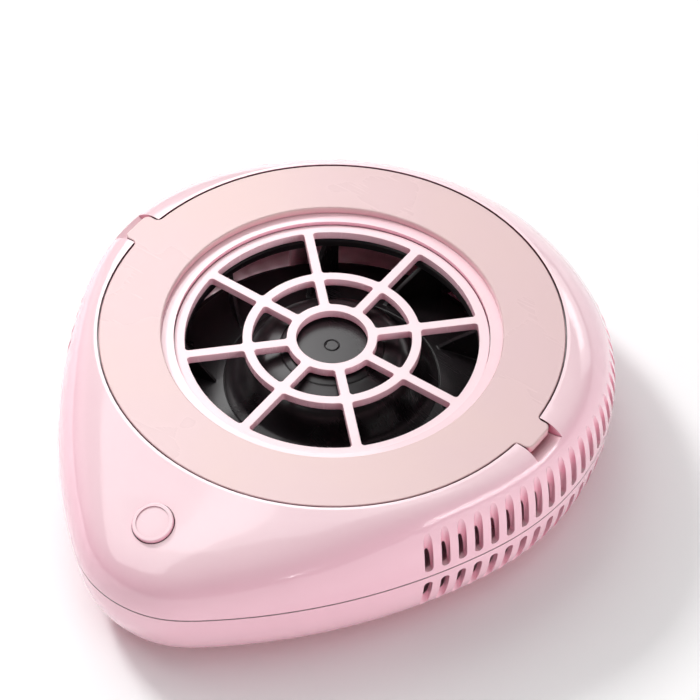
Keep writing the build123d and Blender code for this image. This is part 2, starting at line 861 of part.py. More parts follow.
def make_rotor_cup():
    """Steel cup that carries the magnet and the impeller."""
    inner = cup_radius - cup_wall
    return turned(
        [
            (shaft_radius, cup_top),
            (cup_radius, cup_top),
            (cup_radius, cup_bottom),
            (inner, cup_bottom),
            (inner, cup_top + cup_wall),
            (cup_boss_radius, cup_top + cup_wall),
            (cup_boss_radius, cup_top + cup_wall + cup_boss),
            (shaft_radius, cup_top + cup_wall + cup_boss),
        ]
    )


def make_rotor_magnet():
    """Ring magnet glued inside the cup."""
    outer = cup_radius - cup_wall
    return washer(outer, outer - magnet_thick, magnet_top, magnet_bottom)


def make_motor_shaft():
    """Steel shaft fixed in the cup and running in the two bearings."""
    return rod(shaft_radius, cup_top - shaft_bite, shaft_end)


def make_bearing(top):
    """A sealed ball bearing, as one ring with a stepped face."""
    ring = washer(bearing_radius, bearing_bore, top, top + bearing_width)
    groove = washer(*bearing_groove_radii, top - 1, top + bearing_groove_deep)
    return ring - groove


def make_shaft_clip():
    """Retaining washer on the lower end of the shaft."""
    return washer(clip_radius, shaft_radius, clip_drop, clip_drop + clip_thick)


def stator_radius():
    """Outer radius of the stator core inside the magnet."""
    return cup_radius - cup_wall - magnet_thick - air_gap


def make_stator_core():
    """Laminated core with nine T-shaped teeth."""
    outer = stator_radius()
    plan = Circle(tooth_root_radius)
    for k in range(tooth_count):
        bar = Pos(outer / 2, 0) * Rectangle(outer - 1, tooth_width)
        tip = Circle(outer) - Circle(outer - tooth_tip_thick)
        reach = outer * 1.4
        half = radians(tooth_tip_angle / 2)
        spread = reach * sin(half)
        wedge = make_face(Polyline((0, 0), (reach, spread), (reach, -spread), close=True))
        plan += Rot(0, 0, 360 / tooth_count * k) * (bar + (tip & wedge))
    plan -= Circle(tube_radius + core_fit)
    return Pos(0, 0, -core_bottom) * extrude(plan, amount=core_bottom - core_top)


def make_stator_windings():
    """One copper coil on each tooth."""
    outer, inner = coil_radii
    height = core_bottom - core_top
    coil = Box(outer - inner, coil_width, height + 2 * coil_over)
    coil = fillet(coil.edges().filter_by(Axis.X), coil_corner)
    coil -= Box(2 * outer, tooth_width, height)
    coil = Pos((outer + inner) / 2, 0, -(core_top + core_bottom) / 2) * coil
    return [Rot(0, 0, 360 / tooth_count * k) * coil for k in range(tooth_count)]


def make_motor_base():
    """Bearing tube on a flange, with posts for the motor board and holes for its screws."""
    flange_top = motor_floor - motor_flange_thick
    base = washer(tube_radius, tube_lip_radius, tube_top, flange_top + 0.1)
    base += washer(motor_flange_radius, tube_lip_radius, flange_top, motor_floor)
    base += washer(tube_radius + core_step, tube_radius - 0.5, core_bottom, flange_top + 0.1)
    base -= rod(bearing_radius, tube_top - 1, upper_bearing_top + bearing_width)
    base -= rod(bearing_radius, lower_bearing_top, motor_floor + 1)
    board_bottom = motor_board_top + motor_board_thick
    for x, y in around(motor_post_circle, motor_post_angles):
        base += rod(motor_post_radius, board_bottom, flange_top + 0.1, x, y)
    for x, y in around(motor_screw_circle, motor_screw_angles):
        base -= rod(motor_screw_radius + 0.1, flange_top - 1, motor_floor + 1, x, y)
    return base


def make_motor_board():
    """Ring-shaped driver board under the stator."""
    outer, inner = motor_board_radii
    return washer(outer, inner, motor_board_top, motor_board_top + motor_board_thick)


def make_motor_screws():
    """Three screws that hold the motor flange to the fan frame."""
    seat = motor_floor - motor_flange_thick
    places = around(motor_screw_circle, motor_screw_angles)
    tip = frame_bottom + motor_screw_out
    return [screw(motor_screw_radius, seat, tip, x, y, upward=False) for x, y in places]


# ---- fan frame ----


def make_fan_frame():
    """Black plate that carries the motor, with a rim rib and four ears for the soft mounts."""
    plan = Circle(frame_radius)
    for x, y in around(frame_ear_circle, frame_ear_angles):
        plan += Pos(x, y) * Circle(frame_ear_radius)
    frame = Pos(0, 0, -frame_bottom) * extrude(plan, amount=frame_thick)
    rib_bottom = frame_bottom + frame_rib
    outer, inner = frame_rib_radii
    for radius in frame_rib_radii:
        frame += washer(radius, radius - frame_rib_thick, frame_bottom - 0.1, rib_bottom)
    middle = (outer + inner - frame_rib_thick) / 2
    spoke = Box(outer - inner, frame_rib_thick, frame_rib + 0.1)
    for k in range(frame_rib_count):
        rib = Pos(middle, 0, -(frame_bottom + rib_bottom - 0.1) / 2) * spoke
        frame += Rot(0, 0, 360 / frame_rib_count * (k + 0.5)) * rib
    for x, y in around(frame_ear_circle, frame_ear_angles):
        frame -= rod(grommet_hole_radius, frame_top - 1, frame_bottom + 1, x, y)
    for x, y in around(motor_screw_circle, motor_screw_angles):
        frame -= rod(motor_screw_radius, frame_top - 1, frame_bottom + 1, x, y)
    frame -= rod(shaft_hole_radius, frame_top - 1, frame_bottom + 1)
    frame -= rod(lead_hole_radius, frame_top - 1, frame_bottom + 1, *lead_hole_place)
    return frame


def make_frame_grommets():
    """Rubber bushes in the frame's ears, flanged above and below."""
    shapes = []
    for x, y in around(frame_ear_circle, frame_ear_angles):
        bush = rod(grommet_hole_radius, frame_top - grommet_flange, frame_bottom + grommet_flange, x, y)
        bush += rod(grommet_radius, frame_top - grommet_flange, frame_top, x, y)
        bush += rod(grommet_radius, frame_bottom, frame_bottom + grommet_flange, x, y)
        shapes.append(bush - rod(frame_screw_radius, frame_top - 3, frame_bottom + 3, x, y))
    return shapes


def make_frame_screws():
    """Four screws through the bushes into the tray's posts."""
    seat = frame_top - grommet_flange
    places = around(frame_ear_circle, frame_ear_angles)
    tip = frame_bottom + frame_screw_bite
    return [screw(frame_screw_radius, seat, tip, x, y, upward=False) for x, y in places]


# ---- housing hardware ----


def make_housing_screws():
    """Four long screws from below that close the housing."""
    seat = base_depth - counterbore_depth
    tip = seam_depth - screw_bite
    places = around(housing_screw_circle, housing_screw_angles)
    return [screw(housing_screw_radius, seat, tip, x, y) for x, y in places]


def make_rubber_feet():
    """Four stick-on rubber feet in shallow recesses."""
    shapes = []
    for x, y in foot_places():
        foot = rod(foot_radius, base_depth - foot_sunk, table_drop, x, y)
        shapes.append(fillet(foot.faces().sort_by(Axis.Z)[0].edges(), foot_edge))
    return shapes


# ---- power inlet ----


def make_power_inlet():
    """Round low-voltage socket: flange outside, barrel through the wall, blind bore."""
    socket = inlet_rod(inlet_flange_radius, inlet_face_y, inlet_face_y + inlet_flange_thick)
    socket += inlet_rod(inlet_barrel_radius, inlet_face_y - inlet_length, inlet_face_y + 0.1)
    mouth = inlet_face_y + inlet_flange_thick
    socket -= inlet_rod(inlet_bore_radius, mouth - inlet_bore_depth, mouth + 1)
    return socket - inlet_rod(inlet_tail_radius, inlet_face_y - inlet_length, mouth)


def make_inlet_pin():
    """Brass centre pin of the socket: a contact in the open bore, on a thinner tail."""
    mouth = inlet_face_y + inlet_flange_thick
    shoulder = mouth - inlet_bore_depth + inlet_pin_neck
    pin = inlet_rod(inlet_pin_radius, shoulder, mouth - inlet_pin_recess)
    tail = inlet_face_y - inlet_length - inlet_pin_tail
    return pin + inlet_rod(inlet_tail_radius, tail, shoulder + 0.1)


def make_inlet_nut():
    """Hexagonal nut that clamps the socket from inside."""
    hexagon = RegularPolygon(inlet_nut_flats / 2, 6, major_radius=False) - Circle(inlet_barrel_radius)
    place = Location((0, inlet_back_y - inlet_nut_thick, -inlet_drop), (-90, 0, 0))
    return place * extrude(hexagon, amount=inlet_nut_thick)


# ---- leads ----


def lead(radius, points, bends):
    """A round lead along straight runs joined by tangent arcs."""
    path = FilletPolyline(*points, radius=bends)
    start = Plane(origin=path @ 0, z_dir=path % 0)
    return sweep(start * Circle(radius), path=path)


def connector_foot(side):
    """Middle of the underside of one wire header."""
    height = board_top + board_thick + connector_size[2]
    return (button_frame() * Pos(side * connector_x, connector_y, -height)).position


def make_power_lead():
    """Lead from the socket, along the tray floor, to the control board."""
    end = connector_foot(1)
    start_y = inlet_face_y - inlet_length - inlet_pin_tail
    down = button_travel_axis()
    near = (end.X, end.Y + lead_drop * down[1], end.Z + lead_drop * down[2])
    points = [
        (0, start_y, -inlet_drop),
        (0, start_y - 7, -inlet_drop),
        (lead_turn_x, start_y - 16, -lead_run_drop),
        (lead_lane_x, 45, -lead_run_drop),
        (lead_lane_x, -30, -lead_run_drop),
        (lead_turn_x, lead_turn_y, -lead_run_drop + 2),
        near,
        (end.X, end.Y, end.Z),
    ]
    return lead(lead_radius, points, [5, 8, 14, 20, 10, 8])


def make_motor_lead():
    """Lead from the driver board, out through the fan frame, to the control board."""
    end = connector_foot(-1)
    down = button_travel_axis()
    near = (end.X, end.Y + lead_drop * down[1], end.Z + lead_drop * down[2])
    x, y = lead_hole_place
    board_middle = motor_board_top + motor_board_thick / 2
    points = [
        (x, -motor_board_radii[0], -board_middle),
        (x, y, -board_middle),
        (x, y, -lead_run_drop + 4),
        (x - 6, y - 24, -lead_run_drop + 3),
        (-lead_turn_x, lead_turn_y - 2, -lead_run_drop + 3),
        near,
        (end.X, end.Y, end.Z),
    ]
    return lead(motor_lead_radius, points, [4, 8, 20, 10, 8])


# ---- writing ----


def write_part(name, shapes):
    """Move a piece, or a group of alike pieces, to its place above the table and write it."""
    if not isinstance(shapes, (list, tuple)):
        shapes = [shapes]
    solids = []
    for shape in shapes:
        solids.extend(shape.solids())
    moved = [Pos(0, -origin_y, table_drop) * s for s in solids]
    export_step(moved[0] if len(moved) == 1 else Compound(children=moved), f"parts/{name}.step")


def main():
    os.makedirs("parts", exist_ok=True)
    makers = {
        "upper_shell": make_upper_shell,
        "lower_shell": make_lower_shell,
        "lid_ring": make_lid_ring,
        "suction_grille": make_suction_grille,
        "power_button": make_power_button,
        "switch_plunger": make_switch_plunger,
        "push_switch": make_push_switch,
        "control_board": make_control_board,
        "board_connectors": make_board_connectors,
        "board_screws": make_board_screws,
        "intake_ring": make_intake_ring,
        "intake_gasket": make_intake_gasket,
        "intake_screws": make_intake_screws,
        "impeller": make_impeller,
        "rotor_cup": make_rotor_cup,
        "rotor_magnet": make_rotor_magnet,
        "motor_shaft": make_motor_shaft,
        "shaft_clip": make_shaft_clip,
        "stator_core": make_stator_core,
        "stator_windings": make_stator_windings,
        "motor_base": make_motor_base,
        "motor_board": make_motor_board,
        "motor_screws": make_motor_screws,
        "fan_frame": make_fan_frame,
        "frame_grommets": make_frame_grommets,
        "frame_screws": make_frame_screws,
        "housing_screws": make_housing_screws,
        "rubber_feet": make_rubber_feet,
        "power_inlet": make_power_inlet,
        "inlet_pin": make_inlet_pin,
        "inlet_nut": make_inlet_nut,
        "power_lead": make_power_lead,
        "motor_lead": make_motor_lead,
    }
    for name, make in makers.items():
        write_part(name, make())
        print(name, "written")
    write_part("upper_bearing", make_bearing(upper_bearing_top))
    write_part("lower_bearing", make_bearing(lower_bearing_top))
    print("origin", origin_y, "table", table_drop, "button", button_frame(), button_travel_axis())
    print("inlet", inlet_face_y)


if __name__ == "__main__":
    main()
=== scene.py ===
import json
import math
import bpy
from mathutils import Matrix, Vector


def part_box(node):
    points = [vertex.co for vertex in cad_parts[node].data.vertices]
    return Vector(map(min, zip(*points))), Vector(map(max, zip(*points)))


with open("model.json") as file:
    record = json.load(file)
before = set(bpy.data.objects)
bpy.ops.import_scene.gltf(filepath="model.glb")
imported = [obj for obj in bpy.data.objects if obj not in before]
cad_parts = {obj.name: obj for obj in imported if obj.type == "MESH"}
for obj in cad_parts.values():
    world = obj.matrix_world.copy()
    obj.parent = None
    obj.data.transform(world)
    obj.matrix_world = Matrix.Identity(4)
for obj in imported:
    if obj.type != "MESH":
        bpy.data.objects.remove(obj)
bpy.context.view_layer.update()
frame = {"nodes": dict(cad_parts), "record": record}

lidLow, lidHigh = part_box("lid_ring")
fanCentre = (0.0, (lidLow.y + lidHigh.y) / 2, lidHigh.z)  # where the fan axis leaves the lid's top
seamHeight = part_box("upper_shell")[0].z  # the two shells meet at the underside of the upper one


# small helpers for node trees
def addNode(tree, kind, **settings):
    node = tree.nodes.new("ShaderNode" + kind)
    for name, value in settings.items():
        setattr(node, name, value)
    return node


def plug(tree, target, source):
    # an output is linked, and a plain number or colour is set on the target itself
    if isinstance(source, bpy.types.NodeSocket):
        tree.links.new(source, target)
    else:
        target.default_value = source


def calc(tree, operation, first, second=0.0, third=0.0):
    node = addNode(tree, "Math", operation=operation)
    for socket, value in zip(node.inputs, (first, second, third)):
        plug(tree, socket, value)
    return node.outputs[0]


def remap(tree, value, low, high, newLow=0.0, newHigh=1.0):
    # 0 to 1 along a smooth step from low to high, or between two other values
    node = addNode(tree, "MapRange", interpolation_type="SMOOTHSTEP")
    names = ("Value", "From Min", "From Max", "To Min", "To Max")
    for name, item in zip(names, (value, low, high, newLow, newHigh)):
        plug(tree, node.inputs[name], item)
    return node.outputs["Result"]


mixSockets = {"share": 0, "first": 6, "second": 7, "result": 2}  # places of the colour sockets on a Mix node


def blendColor(tree, share, first, second):
    node = addNode(tree, "Mix", data_type="RGBA")
    plug(tree, node.inputs[mixSockets["share"]], share)
    plug(tree, node.inputs[mixSockets["first"]], first)
    plug(tree, node.inputs[mixSockets["second"]], second)
    return node.outputs[mixSockets["result"]]


def noise(tree, place, scale, detail, roughness):
    node = addNode(tree, "TexNoise")
    for name, value in (("Vector", place), ("Scale", scale), ("Detail", detail), ("Roughness", roughness)):
        plug(tree, node.inputs[name], value)
    return node.outputs["Fac"]


def objectPlace(tree, centre=(0.0, 0.0, 0.0)):
    # Object coordinates, moved so that the pattern's middle is at the given place
    mapping = addNode(tree, "Mapping")
    plug(tree, mapping.inputs["Vector"], addNode(tree, "TexCoord").outputs["Object"])
    mapping.inputs["Location"].default_value = [-c for c in centre]
    return mapping.outputs["Vector"]


def splitPlace(tree, place):
    parts = addNode(tree, "SeparateXYZ")
    plug(tree, parts.inputs[0], place)
    return parts.outputs["X"], parts.outputs["Y"], parts.outputs["Z"]


def axisDistance(tree, place):
    # distance from the pattern's Z axis: root of x squared plus y squared
    x, y, _ = splitPlace(tree, place)
    return calc(tree, "SQRT", calc(tree, "MULTIPLY_ADD", x, x, calc(tree, "MULTIPLY", y, y)))


def startGroup(name, inputs, outputs):
    # an empty shader group with a vector input called place, then the named inputs and outputs
    # an input whose default is 4 numbers is a colour, and any other is a number
    tree = bpy.data.node_groups.new(name, "ShaderNodeTree")
    tree.interface.new_socket(name="place", in_out="INPUT", socket_type="NodeSocketVector")
    for label, default in inputs.items():
        kind = "NodeSocketColor" if isinstance(default, tuple) else "NodeSocketFloat"
        tree.interface.new_socket(name=label, in_out="INPUT", socket_type=kind).default_value = default
    for label, kind in outputs.items():
        tree.interface.new_socket(name=label, in_out="OUTPUT", socket_type="NodeSocket" + kind)
    return tree, tree.nodes.new("NodeGroupInput").outputs, tree.nodes.new("NodeGroupOutput").inputs


def useGroup(tree, group, **values):
    node = addNode(tree, "Group", node_tree=group)
    for name, value in values.items():
        plug(tree, node.inputs[name], value)
    return node.outputs


# effects that several finishes share
# noise: its detail and roughness; leaning: the tint sets in between these two noise values
toneShape = {"noise": (3.0, 0.55), "leaning": (0.35, 0.7)}


def makeToneDrift():
    # colour times (1 + amount * (slow noise - 1/2)), leaning towards a second tint where the noise is high
    tree, given, out = startGroup(
        "toneDrift",
        {"color": (1, 1, 1, 1), "tint": (1, 1, 1, 1), "amount": 0.05, "scale": 20.0},
        {"color": "Color", "drift": "Float"},
    )
    slow = noise(tree, given["place"], given["scale"], *toneShape["noise"])
    leaning = blendColor(tree, remap(tree, slow, *toneShape["leaning"]), given["color"], given["tint"])
    middle = calc(tree, "SUBTRACT", slow, 0.5)
    scaled = addNode(tree, "VectorMath", operation="SCALE")
    plug(tree, scaled.inputs[0], leaning)
    plug(tree, scaled.inputs["Scale"], calc(tree, "MULTIPLY_ADD", middle, given["amount"], 1.0))
    plug(tree, out["color"], scaled.outputs[0])
    plug(tree, out["drift"], slow)
    return tree


grainShape = {
    "coarse": (2.0, 0.6), "fine": (1.0, 0.5),  # detail and roughness of each noise
    "finer": 3.1,  # scale of the fine noise over that of the coarse one
}


def makeMouldGrain():
    # height = coarse noise + share * fine noise, the skin that an eroded or polished mould leaves
    tree, given, out = startGroup("mouldGrain", {"scale": 800.0, "fine": 0.5}, {"height": "Float"})
    coarse = noise(tree, given["place"], given["scale"], *grainShape["coarse"])
    finer = calc(tree, "MULTIPLY", given["scale"], grainShape["finer"])
    fine = noise(tree, given["place"], finer, *grainShape["fine"])
    plug(tree, out["height"], calc(tree, "MULTIPLY_ADD", fine, given["fine"], coarse))
    return tree


markShape = {
    "noise": (2.0, 0.6), "crest": (0.56, 0.72), "stretch": (1.0, 30.0, 6.0),
    "angles": (0.5, -1.1), "lean": 0.3,  # radians
}


def makeHairlines():
    # mask of fine wiping marks: noise stretched along two crossing directions, cut to its crests
    tree, given, out = startGroup("hairlines", {"scale": 60.0}, {"mask": "Float"})
    marks = []
    for angle in markShape["angles"]:
        stretched = addNode(tree, "Mapping")
        plug(tree, stretched.inputs["Vector"], given["place"])
        stretched.inputs["Rotation"].default_value = (0.0, markShape["lean"], angle)
        stretched.inputs["Scale"].default_value = markShape["stretch"]
        strokes = noise(tree, stretched.outputs[0], given["scale"], *markShape["noise"])
        marks.append(remap(tree, strokes, *markShape["crest"]))
    plug(tree, out["mask"], calc(tree, "MAXIMUM", marks[0], marks[1]))
    return tree


dustShape = {
    "noise": (4.0, 0.7), "speckle": (0.4, 0.75, 0.15, 1.0),  # speckle: range of noise, then range of mask
    "facingUp": (0.5, 1.0),  # upward part of the normal where dust and painted sheen begin and where they are full
}


def makeDustAndPaintedSheen():
    # mask = how far the surface faces up, times an even painted sheen that lightens tops as reflected light
    # would, plus a speckled dust noise
    values = {"scale": 300.0, "amount": 0.3, "haze": 0.0}
    tree, given, out = startGroup("dustAndPaintedSheen", values, {"mask": "Float"})
    facing = splitPlace(tree, addNode(tree, "TexCoord").outputs["Normal"])[2]
    specks = noise(tree, given["place"], given["scale"], *dustShape["noise"])
    speckle = remap(tree, specks, *dustShape["speckle"])
    powder = calc(tree, "MULTIPLY_ADD", speckle, given["amount"], given["haze"])
    plug(tree, out["mask"], calc(tree, "MULTIPLY", remap(tree, facing, *dustShape["facingUp"]), powder))
    return tree


def makeTurningRings():
    # height = up and down once per pitch with the distance from the Z axis, the rings of a lathe
    tree, given, out = startGroup("turningRings", {"pitch": 0.0005}, {"height": "Float"})
    turns = calc(tree, "DIVIDE", axisDistance(tree, given["place"]), given["pitch"])
    plug(tree, out["height"], calc(tree, "PINGPONG", turns, 1.0))
    return tree


toneDrift, mouldGrain, hairlines = makeToneDrift(), makeMouldGrain(), makeHairlines()
dustAndPaintedSheen, turningRings = makeDustAndPaintedSheen(), makeTurningRings()
print("shared effects ready")


def finish(slot, look, pattern=None):
    # one material: tone drift, painted shade in hollows, and dust with a painted sheen make the colour,
    # hairlines and drift the gloss, grain the bump
    material = bpy.data.materials.new(slot)
    material.use_nodes = True
    tree = material.node_tree
    surface = tree.nodes["Principled BSDF"]
    place = objectPlace(tree, fanCentre)
    tone = useGroup(
        tree, toneDrift, place=place,
        color=look["color"], tint=look["tint"], amount=look["drift"], scale=look["driftScale"],
    )
    grain = useGroup(tree, mouldGrain, place=place, scale=look["grainScale"], fine=look["grainFine"])
    marks = useGroup(tree, hairlines, place=place, scale=look["markScale"])
    color, height = tone["color"], grain["height"]
    rough = calc(tree, "MULTIPLY_ADD", marks["mask"], look["markRough"], look["rough"])
    rough = calc(tree, "MULTIPLY_ADD", calc(tree, "SUBTRACT", tone["drift"], 0.5), look["roughDrift"], rough)
    if pattern:
        color, height = pattern(tree, place, color, height)
    # painted shade: each listed shade colour is blended in where little open sky lies within reach
    for paintedShade in look["paintedShades"]:
        sky = addNode(tree, "AmbientOcclusion", samples=paintedShade["rays"])
        sky.inputs["Distance"].default_value = paintedShade["reach"]
        shut = remap(tree, sky.outputs["AO"], paintedShade["shut"], paintedShade["open"], paintedShade["depth"], 0.0)
        color = blendColor(tree, shut, color, paintedShade["color"])
    # dust specks, and a pale tint on upward faces that is painted sheen standing in for reflected light
    if look["dust"]:
        dustSheen = useGroup(
            tree, dustAndPaintedSheen, place=place,
            scale=look["dustScale"], amount=look["dust"], haze=look["haze"],
        )
        dust = dustSheen["mask"]
        color = blendColor(tree, dust, color, look["dustAndSheenColor"])
        rough = calc(tree, "MULTIPLY_ADD", dust, look["dustRough"], rough)
    plug(tree, surface.inputs["Base Color"], color)
    plug(tree, surface.inputs["Roughness"], rough)
    surface.inputs["Metallic"].default_value = look["metallic"]
    surface.inputs["IOR"].default_value = look["ior"]
    surface.inputs["Coat Weight"].default_value = look["coat"]
    surface.inputs["Coat Roughness"].default_value = look["coatRough"]
    surface.inputs["Sheen Weight"].default_value = look["sheen"]
    bump = addNode(tree, "Bump")
    if look["edge"]:
        softened = addNode(tree, "Bevel", samples=look["edgeRays"])
        softened.inputs["Radius"].default_value = look["edge"]
        plug(tree, bump.inputs["Normal"], softened.outputs["Normal"])
    bump.inputs["Strength"].default_value = look["bump"]
    bump.inputs["Distance"].default_value = look["grainHeight"]
    plug(tree, bump.inputs["Height"], height)
    plug(tree, surface.inputs["Normal"], bump.outputs["Normal"])
    return material


def rgb(red, green, blue):
    # screen colour out of 255 to scene-linear, by the sRGB curve
    curve = [c / 255 / 12.92 if c <= 10 else ((c / 255 + 0.055) / 1.055) ** 2.4 for c in (red, green, blue)]
    return (*curve, 1.0)


# painted shade: the near-black brown that a narrow gap or groove shows in its shadow
gapShadeBrown = rgb(62, 26, 34)
seamShadeBand = {"width": 0.00045, "soft": 0.0001, "depth": 0.75}  # band of painted shade along the groove that the two shells leave between them

# painted shade by open sky: pink deepens in slots, turns wine inside, and is brown in a narrow gap
# shut and open are the shares of open sky, within reach, where a painted shade's colour is full and where it
# ends
pinkPaintedShades = (
    {"reach": 0.007, "rays": 6, "shut": 0.25, "open": 0.9, "depth": 0.85, "color": rgb(232, 128, 158)},
    {"reach": 0.03, "rays": 6, "shut": 0.06, "open": 0.3, "depth": 0.9, "color": rgb(214, 72, 110)},
    {"reach": 0.0016, "rays": 6, "shut": 0.35, "open": 0.65, "depth": 0.97, "color": gapShadeBrown},
)


def shellSeamShade(tree, place, color, height):
    # painted shade: brown inside the groove, which is centred on the height where the shells meet
    level = splitPlace(tree, addNode(tree, "TexCoord").outputs["Object"])[2]
    off = calc(tree, "ABSOLUTE", calc(tree, "SUBTRACT", level, seamHeight))
    groove = remap(tree, off, seamShadeBand["width"] / 2 - seamShadeBand["soft"], seamShadeBand["width"] / 2, seamShadeBand["depth"], 0.0)
    return blendColor(tree, groove, color, gapShadeBrown), height


# lengths in metres; a finish below names only what differs from the one that it starts from
plastic = {
    "drift": 0.03, "driftScale": 14.0, "rough": 0.2, "roughDrift": 0.05, "markScale": 30.0, "markRough": 0.03,
    "grainScale": 900.0, "grainFine": 0.4, "grainHeight": 0.00002, "bump": 0.25,
    "metallic": 0.0, "ior": 1.5, "coat": 0.0, "coatRough": 0.05, "sheen": 0.0,
    "dust": 0.0, "haze": 0.0, "dustRough": 0.3, "paintedShades": (), "edge": 0.0, "edgeRays": 4,
}
shellLook = {
    **plastic, "paintedShades": pinkPaintedShades, "edge": 0.0002,
    "color": rgb(241, 190, 204), "tint": rgb(242, 194, 207), "rough": 0.11, "markRough": 0.05,
    "coat": 0.7, "coatRough": 0.07, "grainScale": 260.0, "grainHeight": 0.000006,
    # the pale dust colour over upward faces is mostly painted sheen standing in for reflected light
    "dust": 0.05, "haze": 0.6, "dustRough": 0.05, "dustScale": 120.0, "dustAndSheenColor": rgb(251, 228, 231),
}
lidLook = {
    **plastic, "paintedShades": pinkPaintedShades, "edge": 0.0003,
    "color": rgb(217, 184, 186), "tint": rgb(219, 187, 184), "drift": 0.02, "driftScale": 11.0,
    "rough": 0.28, "roughDrift": 0.12, "markRough": 0.002, "coat": 0.3, "coatRough": 0.2, "sheen": 0.05,
    "grainScale": 1500.0, "grainHeight": 0.000008, "bump": 0.35,
}
grilleLook = {
    **plastic, "paintedShades": pinkPaintedShades[:1], "edge": 0.0005,
    "color": rgb(241, 192, 205), "tint": rgb(243, 196, 208), "rough": 0.26, "coat": 0.2,
    # the pale dust colour over upward faces is mostly painted sheen standing in for reflected light
    "dust": 0.03, "haze": 0.7, "dustRough": 0.1, "dustScale": 200.0, "dustAndSheenColor": rgb(250, 230, 233),
}
buttonLook = {
    **shellLook, "color": rgb(244, 190, 205), "tint": rgb(245, 195, 208), "dust": 0.02, "rough": 0.2,
}
fanLook = {
    **plastic, "color": rgb(26, 22, 24), "tint": rgb(33, 28, 31), "drift": 0.2,
    "rough": 0.27, "roughDrift": 0.12, "markRough": 0.008,
    "grainScale": 1400.0, "grainHeight": 0.00001, "bump": 0.2,
    "dust": 0.006, "dustScale": 500.0, "dustAndSheenColor": rgb(176, 160, 160),
}
blackLook = {**fanLook, "color": rgb(20, 15, 18), "tint": rgb(26, 20, 23), "rough": 0.42, "dust": 0.02}
whiteLook = {**plastic, "color": rgb(232, 230, 222), "tint": rgb(238, 234, 222), "rough": 0.35}
boardLook = {**plastic, "color": rgb(20, 74, 42), "tint": rgb(26, 86, 50), "rough": 0.28, "coat": 0.4}
metal = {
    **plastic, "metallic": 1.0, "drift": 0.12, "driftScale": 90.0, "rough": 0.3, "roughDrift": 0.2,
    "grainScale": 2200.0, "bump": 0.4, "markScale": 120.0, "markRough": 0.15,
}
zincLook = {**metal, "color": rgb(196, 198, 202), "tint": rgb(184, 190, 206), "rough": 0.34}
steelLook = {**metal, "color": rgb(214, 214, 216), "tint": rgb(200, 202, 206), "rough": 0.16, "drift": 0.05}
coreLook = {**metal, "color": rgb(92, 92, 98), "tint": rgb(70, 74, 84), "rough": 0.4, "metallic": 0.8}
magnetLook = {
    **metal, "color": rgb(66, 64, 68), "tint": rgb(54, 54, 58), "rough": 0.6, "metallic": 0.3, "bump": 0.8,
}
copperLook = {**metal, "color": rgb(190, 98, 50), "tint": rgb(206, 118, 62), "rough": 0.28, "coat": 0.6}
alloyLook = {
    **metal, "color": rgb(176, 177, 180), "tint": rgb(160, 162, 168), "rough": 0.5,
    "grainScale": 700.0, "bump": 0.8,
}
rubberLook = {
    **plastic, "color": rgb(34, 33, 34), "tint": rgb(42, 40, 41), "drift": 0.2, "rough": 0.72, "sheen": 0.1,
    "grainScale": 1800.0, "bump": 0.6, "dust": 0.1, "dustScale": 300.0, "dustAndSheenColor": rgb(140, 134, 132),
}
foamLook = {
    **rubberLook, "color": rgb(48, 47, 50), "tint": rgb(58, 56, 60), "rough": 0.9,
    "grainHeight": 0.0003, "bump": 1.0,
}
brassLook = {**metal, "color": rgb(212, 176, 104), "tint": rgb(196, 160, 96), "rough": 0.22}
leadLook = {**rubberLook, "color": rgb(26, 25, 27), "tint": rgb(32, 31, 33), "rough": 0.45}

# the valley colour is painted shade between neighbouring wires
winding = {"wire": 0.00035, "crest": 0.8, "lift": 6.0, "valleyShade": rgb(70, 26, 12)}


def wireTurns(tree, place, color, height):
    # enamelled wire: round crests one wire apart with the distance from the axis, and painted shade in the
    # valleys between them
    wave = calc(tree, "PINGPONG", calc(tree, "DIVIDE", axisDistance(tree, place), winding["wire"]), 1.0)
    slope = calc(tree, "POWER", calc(tree, "SUBTRACT", wave, 1.0), 2.0)
    crest = calc(tree, "SQRT", calc(tree, "SUBTRACT", 1.0, slope))
    enamel = blendColor(tree, remap(tree, crest, 0.0, winding["crest"]), winding["valleyShade"], color)
    return enamel, calc(tree, "MULTIPLY_ADD", crest, winding["lift"], height)


stack = {"sheet": 0.0005, "groove": 0.12, "lift": 4.0, "shadow": rgb(20, 20, 22)}


def laminations(tree, place, color, height):
    # stacked sheets: a groove wherever the height is a whole number of sheets
    sheets = calc(tree, "DIVIDE", splitPlace(tree, place)[2], stack["sheet"])
    sheet = calc(tree, "PINGPONG", sheets, 0.5)
    steel = blendColor(tree, remap(tree, sheet, 0.0, stack["groove"]), stack["shadow"], color)
    return steel, calc(tree, "MULTIPLY_ADD", sheet, stack["lift"], height)


tracks = {
    "scale": 260.0, "wall": (0.42, 0.5), "pad": (0.1, 0.14), "lift": 2.0,
    "lacquer": rgb(44, 122, 66), "solder": rgb(176, 170, 150),
}


def boardTracks(tree, place, color, height):
    # copper under green lacquer: cell walls of a squared pattern, with round pads at the cell middles
    cells = addNode(tree, "TexVoronoi", feature="F1", distance="CHEBYCHEV")
    plug(tree, cells.inputs["Vector"], place)
    cells.inputs["Scale"].default_value = tracks["scale"]
    wall = remap(tree, cells.outputs["Distance"], *tracks["wall"])
    pad = remap(tree, cells.outputs["Distance"], *tracks["pad"], 1.0, 0.0)
    walled = blendColor(tree, wall, color, tracks["lacquer"])
    padded = blendColor(tree, pad, walled, tracks["solder"])
    return padded, calc(tree, "MULTIPLY_ADD", wall, tracks["lift"], height)


pores = {"scale": 900.0, "rim": 0.5, "shadow": rgb(12, 12, 13)}


